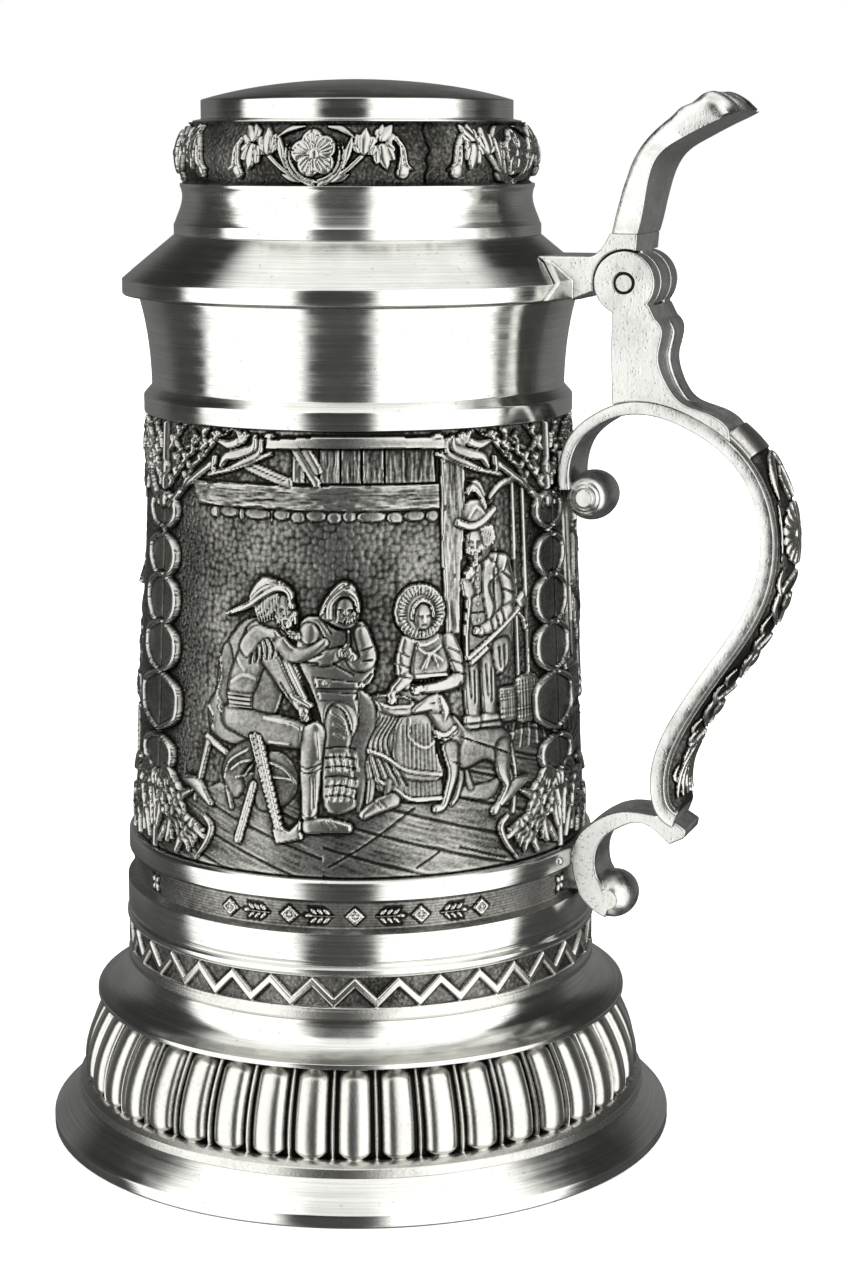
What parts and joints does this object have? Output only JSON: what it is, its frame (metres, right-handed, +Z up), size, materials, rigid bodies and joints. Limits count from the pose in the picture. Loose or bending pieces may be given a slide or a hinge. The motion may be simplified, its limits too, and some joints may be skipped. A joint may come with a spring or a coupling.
{
  "type": "lidded pewter tankard",
  "caption": "Tapered pewter tankard with a hinged domed lid, thumb piece, scroll handle, relief-cast barrel and spreading fluted foot.",
  "frame": {"origin": "on the tankard's axis, in the plane that the foot stands on", "axes": "+Z up along the tankard's axis, +X towards the handle, +Y to the left of someone who looks from the handle to the cup"},
  "size_m": [0.1497, 0.125, 0.2067],
  "materials": {
    "turned_pewter": "lathe-turned pewter with fine round lines",
    "antique_relief": "cast pewter relief with dark antique patina",
    "inner_pewter": "turned pewter, dull inside",
    "cast_pewter": "bright hand-filed casting",
    "cast_relief": "cast relief with dark hollows",
    "pin_metal": "drawn wire pin",
    "solder": "soft solder"
  },
  "bodies": {
    "vessel": {"foot_flange": "turned_pewter", "gadroon_ring": "antique_relief", "foot_cove": "turned_pewter", "zigzag_band": "antique_relief", "floor_disc": "inner_pewter", "lower_belt": "turned_pewter", "frieze_band": "antique_relief", "upper_belt": "turned_pewter", "relief_barrel": "antique_relief", "upper_collar": "turned_pewter", "hinge_pin": "pin_metal", "handle_band": "cast_pewter", "hinge_lug": "cast_pewter", "relief_strip": "cast_relief", "lower_bracket": "cast_pewter", "upper_solder": "solder", "lower_solder": "solder"},
    "lid": {"lid_skirt": "turned_pewter", "lid_neck": "turned_pewter", "flower_band": "antique_relief", "lid_cap": "turned_pewter", "lid_strap": "cast_pewter", "thumb_piece": "cast_pewter"}
  },
  "joints": [
    {"name": "lid_hinge", "type": "hinge", "parent": "vessel", "child": "lid", "pos_m": [0.0557, 0, 0.1695], "axis": [0, 1, 0], "range_deg": [0, 100]}
  ]
}
